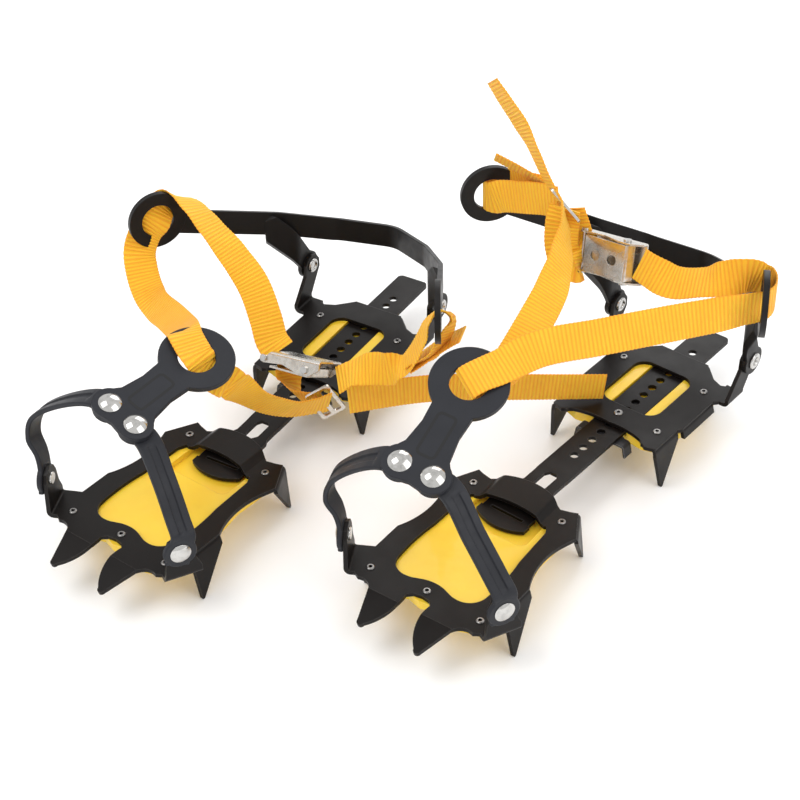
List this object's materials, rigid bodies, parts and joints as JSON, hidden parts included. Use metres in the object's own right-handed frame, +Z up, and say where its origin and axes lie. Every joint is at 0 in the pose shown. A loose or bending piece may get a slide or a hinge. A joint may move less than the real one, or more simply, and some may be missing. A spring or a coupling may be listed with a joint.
{
  "type": "crampons",
  "caption": "A pair of strap-on ten-point crampons with plates joined by a length bar, rubber bails and webbing straps.",
  "frame": {"origin": "on the ground, at the middle of the pair's box measured without the free strap ends", "axes": "+Z up, the toes towards -Y, crampon b on the +X side of crampon a"},
  "size_m": [0.3856, 0.3992, 0.2279],
  "materials": {
    "black_steel": "satin black-brown paint",
    "dark_steel": "phosphated spring steel",
    "bright_steel": "nickel plated pressings",
    "nickel": "bright nickel",
    "toe_rubber": "moulded slate-black elastomer",
    "heel_rubber": "moulded black elastomer",
    "pad_yellow": "moulded yellow elastomer",
    "webbing": "ribbed yellow-orange webbing"
  },
  "bodies": {
    "a_front": {"a_front_plate": "black_steel", "a_front_anti_balling_pad": "pad_yellow", "a_front_plate_rivets": "nickel", "a_toe_pivot_rivets": "nickel", "a_buckle_frame": "bright_steel", "a_buckle_pivot": "nickel", "a_buckle_strap_bar": "nickel", "a_buckle_spring": "bright_steel", "a_long_strap_front": "webbing", "a_long_strap_middle": "webbing", "a_long_strap_back": "webbing", "a_short_strap": "webbing", "a_long_strap_tail": "webbing", "a_short_strap_tail": "webbing"},
    "a_bar": {"a_bar": "black_steel"},
    "a_heel": {"a_heel_plate": "black_steel", "a_heel_anti_balling_pad": "pad_yellow", "a_heel_plate_rivets": "nickel", "a_lock_rivet": "nickel", "a_heel_pivot_rivets": "nickel"},
    "a_lock": {"a_lock_leaf": "dark_steel", "a_lock_pin": "dark_steel"},
    "a_toe_bail": {"a_toe_ring": "toe_rubber", "a_toe_arm_left": "toe_rubber", "a_toe_arm_right": "toe_rubber", "a_snap_rivets": "nickel"},
    "a_heel_strap": {"a_heel_band": "heel_rubber"},
    "a_lever": {"a_buckle_lever": "bright_steel"},
    "a_keeper": {"a_slider": "bright_steel"},
    "b_front": {"b_front_plate": "black_steel", "b_front_anti_balling_pad": "pad_yellow", "b_front_plate_rivets": "nickel", "b_toe_pivot_rivets": "nickel"},
    "b_bar": {"b_bar": "black_steel"},
    "b_heel": {"b_heel_plate": "black_steel", "b_heel_anti_balling_pad": "pad_yellow", "b_heel_plate_rivets": "nickel", "b_lock_rivet": "nickel", "b_heel_pivot_rivets": "nickel"},
    "b_lock": {"b_lock_leaf": "dark_steel", "b_lock_pin": "dark_steel"},
    "b_toe_bail": {"b_toe_ring": "toe_rubber", "b_toe_arm_left": "toe_rubber", "b_toe_arm_right": "toe_rubber", "b_snap_rivets": "nickel"},
    "b_heel_strap": {"b_heel_band": "heel_rubber", "b_buckle_frame": "bright_steel", "b_buckle_pivot": "nickel", "b_buckle_strap_bar": "nickel", "b_buckle_spring": "bright_steel", "b_long_strap_front": "webbing", "b_long_strap_middle": "webbing", "b_long_strap_back": "webbing", "b_short_strap": "webbing", "b_short_strap_loop": "webbing", "b_long_strap_tail": "webbing", "b_short_strap_tail": "webbing"},
    "b_lever": {"b_buckle_lever": "bright_steel"},
    "b_keeper": {"b_slider": "bright_steel"}
  },
  "joints": [
    {"name": "a_toe_bail_hinge", "type": "hinge", "parent": "a_front", "child": "a_toe_bail", "pos_m": [-0.07612, -0.16551, 0.0479], "axis": [0.9995, -0.0305, 0], "range_deg": [-20, 35], "deforming": ["a_long_strap_front", "a_long_strap_middle", "a_long_strap_back", "a_short_strap", "a_long_strap_tail", "a_short_strap_tail", "a_toe_arm_left", "a_toe_arm_right"]},
    {"name": "a_bar_tilt", "type": "hinge", "parent": "a_front", "child": "a_bar", "pos_m": [-0.07143, -0.08543, 0.02465], "axis": [0.9963, 0.0854, 0], "range_deg": [0, 5]},
    {"name": "a_length_slide", "type": "slide", "parent": "a_bar", "child": "a_heel", "axis": [-0.0854, 0.9963, 0], "range_m": [-0.0366, 0.0366]},
    {"name": "a_lock_press", "type": "slide", "parent": "a_heel", "child": "a_lock", "axis": [0, 0, -1], "range_m": [0, 0.004], "stiffness_N_per_m": 600},
    {"name": "a_heel_strap_hinge", "type": "hinge", "parent": "a_heel", "child": "a_heel_strap", "pos_m": [-0.0864, 0.08918, 0.0524], "axis": [0.9963, 0.0854, 0], "range_deg": [-25, 20]},
    {"name": "a_buckle_lever_hinge", "type": "hinge", "parent": "a_front", "child": "a_lever", "pos_m": [-0.05351, -0.0107, 0.05955], "axis": [-0.0049, -0.8414, 0.5405], "range_deg": [0, 60], "stiffness_Nm_per_rad": 0.01},
    {"name": "a_keeper_slide", "type": "slide", "parent": "a_front", "child": "a_keeper", "axis": [0.6222, 0.7828, 0], "range_m": [0, 0.012]},
    {"name": "b_toe_bail_hinge", "type": "hinge", "parent": "b_front", "child": "b_toe_bail", "pos_m": [0.09227, -0.10475, 0.0479], "axis": [1, 0, 0], "range_deg": [-30, 30], "deforming": ["b_long_strap_front", "b_long_strap_middle", "b_long_strap_back", "b_short_strap", "b_short_strap_loop", "b_long_strap_tail", "b_short_strap_tail", "b_toe_arm_left", "b_toe_arm_right"]},
    {"name": "b_bar_tilt", "type": "hinge", "parent": "b_front", "child": "b_bar", "pos_m": [0.09089, -0.02731, 0.02465], "axis": [0.998, -0.0626, 0], "range_deg": [0, 5]},
    {"name": "b_length_slide", "type": "slide", "parent": "b_bar", "child": "b_heel", "axis": [0.0626, 0.998, 0], "range_m": [-0.04575, 0.02745]},
    {"name": "b_lock_press", "type": "slide", "parent": "b_heel", "child": "b_lock", "axis": [0, 0, -1], "range_m": [0, 0.004], "stiffness_N_per_m": 600},
    {"name": "b_heel_strap_hinge", "type": "hinge", "parent": "b_heel", "child": "b_heel_strap", "pos_m": [0.10244, 0.15673, 0.0524], "axis": [0.998, -0.0626, 0], "range_deg": [-20, 15]},
    {"name": "b_buckle_lever_hinge", "type": "hinge", "parent": "b_heel_strap", "child": "b_lever", "pos_m": [0.09601, 0.09108, 0.13682], "axis": [-0.0987, 0.2996, 0.949], "range_deg": [0, 60], "stiffness_Nm_per_rad": 0.01},
    {"name": "b_keeper_slide", "type": "slide", "parent": "b_heel_strap", "child": "b_keeper", "axis": [-0.5701, 0.05, 0.8201], "range_m": [0, 0.012]},
    {"name": "pair_apart", "type": "slide", "parent": "a_front", "child": "b_front", "axis": [1, 0, 0], "range_m": [0, 0.15]}
  ]
}
